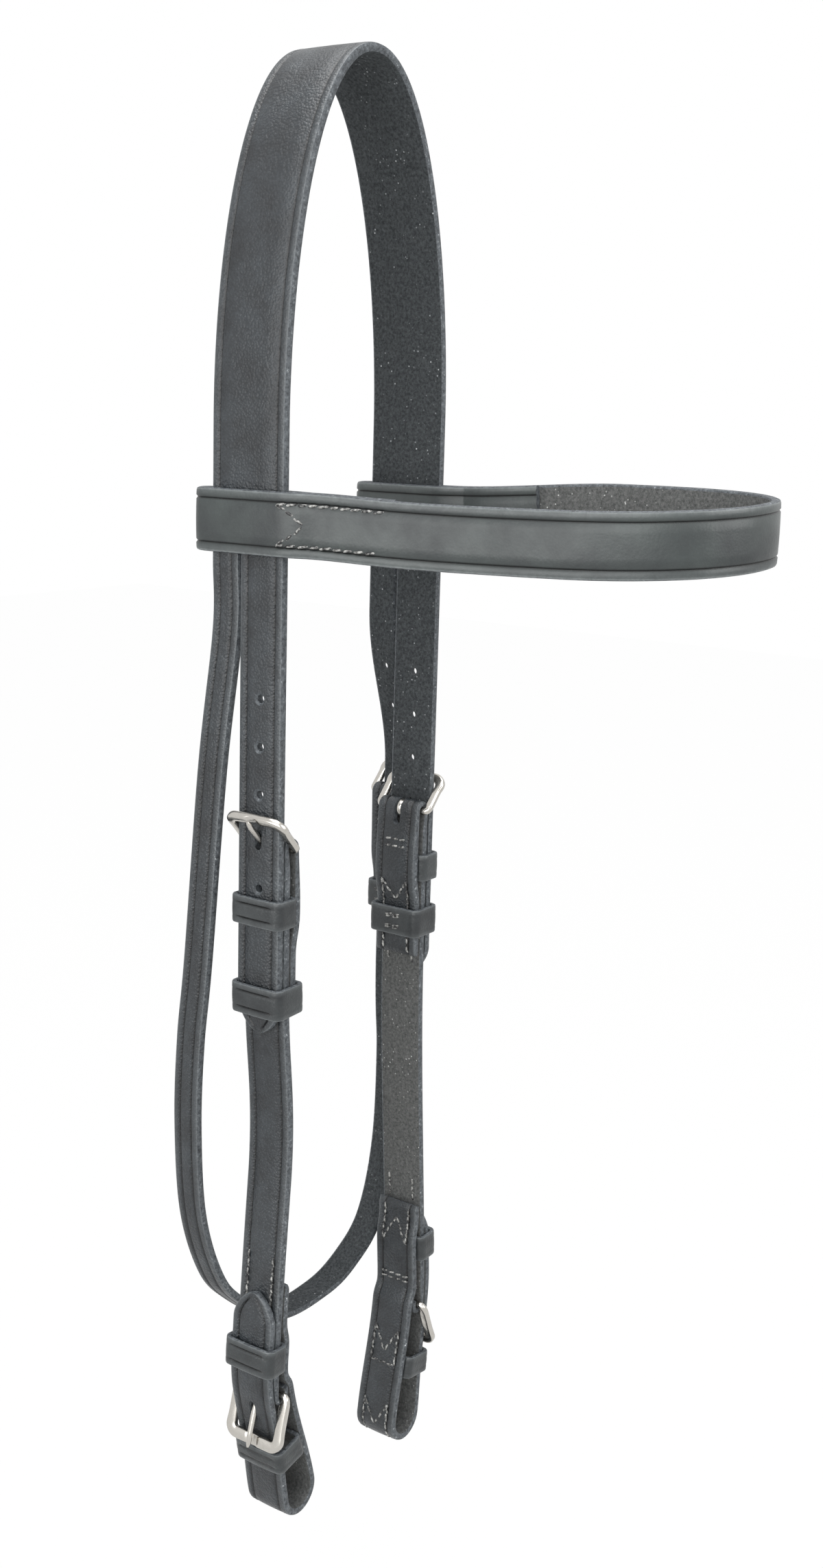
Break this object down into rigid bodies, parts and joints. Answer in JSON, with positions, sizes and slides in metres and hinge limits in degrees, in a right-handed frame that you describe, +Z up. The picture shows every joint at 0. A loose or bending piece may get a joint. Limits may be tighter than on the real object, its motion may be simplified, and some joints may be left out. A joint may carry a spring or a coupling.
{
  "type": "bridle headstall",
  "caption": "Black leather bridle headstall: crown slit into cheek points and a throatlash, bowed browband, and cheekpieces with steel tongue buckles, keepers and bit billets.",
  "frame": {"origin": "on the underside of the crown, at the middle of its top", "axes": "+Z up, the browband faces -Y, the off (right) side is at -X and the near (left) side at +X"},
  "size_m": [0.1265, 0.1913, 0.5482],
  "materials": {
    "headpiece_leather": "black dyed strap leather, grained outside and suede inside",
    "browband_leather": "black dyed strap leather, smooth and lightly waxed",
    "cheek_leather": "black dyed strap leather, stitched in two rows",
    "billet_leather": "black dyed strap leather",
    "keeper_leather": "thin black dyed leather with creased edges",
    "buckle_frame_steel": "satin polished stainless steel",
    "buckle_tongue_steel": "satin polished stainless steel wire"
  },
  "bodies": {
    "headstall": {"headpiece": "headpiece_leather", "near_bit_billet": "billet_leather", "near_bit_lower_keeper": "keeper_leather", "near_bit_upper_keeper": "keeper_leather", "near_cheek_keeper": "keeper_leather", "near_cheek_strap": "cheek_leather", "off_bit_billet": "billet_leather", "off_bit_lower_keeper": "keeper_leather", "off_bit_upper_keeper": "keeper_leather", "off_cheek_keeper": "keeper_leather", "off_cheek_strap": "cheek_leather", "throat_keeper": "keeper_leather"},
    "off_cheek_buckle_frame": {"off_cheek_buckle_frame": "buckle_frame_steel"},
    "off_cheek_buckle_tongue": {"off_cheek_buckle_tongue": "buckle_tongue_steel"},
    "near_cheek_buckle_frame": {"near_cheek_buckle_frame": "buckle_frame_steel"},
    "near_cheek_buckle_tongue": {"near_cheek_buckle_tongue": "buckle_tongue_steel"},
    "off_bit_buckle_frame": {"off_bit_buckle_frame": "buckle_frame_steel"},
    "off_bit_buckle_tongue": {"off_bit_buckle_tongue": "buckle_tongue_steel"},
    "near_bit_buckle_frame": {"near_bit_buckle_frame": "buckle_frame_steel"},
    "near_bit_buckle_tongue": {"near_bit_buckle_tongue": "buckle_tongue_steel"},
    "throat_buckle_frame": {"throat_buckle_frame": "buckle_frame_steel"},
    "throat_buckle_tongue": {"throat_buckle_tongue": "buckle_tongue_steel"},
    "off_cheek_runner": {"off_cheek_runner": "keeper_leather"},
    "near_cheek_runner": {"near_cheek_runner": "keeper_leather"},
    "throat_runner": {"throat_runner": "keeper_leather"},
    "browband": {"browband": "browband_leather"}
  },
  "joints": [
    {"name": "off_cheek_frame_swing", "type": "hinge", "parent": "headstall", "child": "off_cheek_buckle_frame", "pos_m": [-0.04015, -0.0065, -0.27182], "axis": [0, -1, 0], "range_deg": [0, 6]},
    {"name": "off_cheek_tongue_swing", "type": "hinge", "parent": "off_cheek_buckle_frame", "child": "off_cheek_buckle_tongue", "pos_m": [-0.04015, -0.0065, -0.27182], "axis": [0, -1, 0], "range_deg": [0, 8]},
    {"name": "near_cheek_frame_swing", "type": "hinge", "parent": "headstall", "child": "near_cheek_buckle_frame", "pos_m": [0.04015, -0.0065, -0.27182], "axis": [0, 1, 0], "range_deg": [0, 6]},
    {"name": "near_cheek_tongue_swing", "type": "hinge", "parent": "near_cheek_buckle_frame", "child": "near_cheek_buckle_tongue", "pos_m": [0.04015, -0.0065, -0.27182], "axis": [0, 1, 0], "range_deg": [0, 8]},
    {"name": "off_bit_frame_swing", "type": "hinge", "parent": "headstall", "child": "off_bit_buckle_frame", "pos_m": [-0.04168, -0.0065, -0.48523], "axis": [0, 1, 0], "range_deg": [0, 6]},
    {"name": "off_bit_tongue_swing", "type": "hinge", "parent": "off_bit_buckle_frame", "child": "off_bit_buckle_tongue", "pos_m": [-0.04168, -0.0065, -0.48523], "axis": [0, 1, 0], "range_deg": [0, 8]},
    {"name": "near_bit_frame_swing", "type": "hinge", "parent": "headstall", "child": "near_bit_buckle_frame", "pos_m": [0.04783, -0.0065, -0.48577], "axis": [0, -1, 0], "range_deg": [0, 6]},
    {"name": "near_bit_tongue_swing", "type": "hinge", "parent": "near_bit_buckle_frame", "child": "near_bit_buckle_tongue", "pos_m": [0.04783, -0.0065, -0.48577], "axis": [0, -1, 0], "range_deg": [0, 8]},
    {"name": "throat_frame_swing", "type": "hinge", "parent": "headstall", "child": "throat_buckle_frame", "pos_m": [0.05795, 0.0135, -0.27154], "axis": [0, 1, 0], "range_deg": [0, 6]},
    {"name": "throat_tongue_swing", "type": "hinge", "parent": "throat_buckle_frame", "child": "throat_buckle_tongue", "pos_m": [0.05795, 0.0135, -0.27154], "axis": [0, 1, 0], "range_deg": [0, 8]},
    {"name": "off_cheek_runner_slide", "type": "slide", "parent": "headstall", "child": "off_cheek_runner", "axis": [0, 0, 1], "range_m": [-0.005, 0.012]},
    {"name": "near_cheek_runner_slide", "type": "slide", "parent": "headstall", "child": "near_cheek_runner", "axis": [0, 0, 1], "range_m": [-0.016, 0.002]},
    {"name": "throat_runner_slide", "type": "slide", "parent": "headstall", "child": "throat_runner", "axis": [0, 0, 1], "range_m": [-0.01, 0.002]},
    {"name": "browband_slide", "type": "slide", "parent": "headstall", "child": "browband", "axis": [0, 0, 1], "range_m": [-0.008, 0.008]}
  ]
}
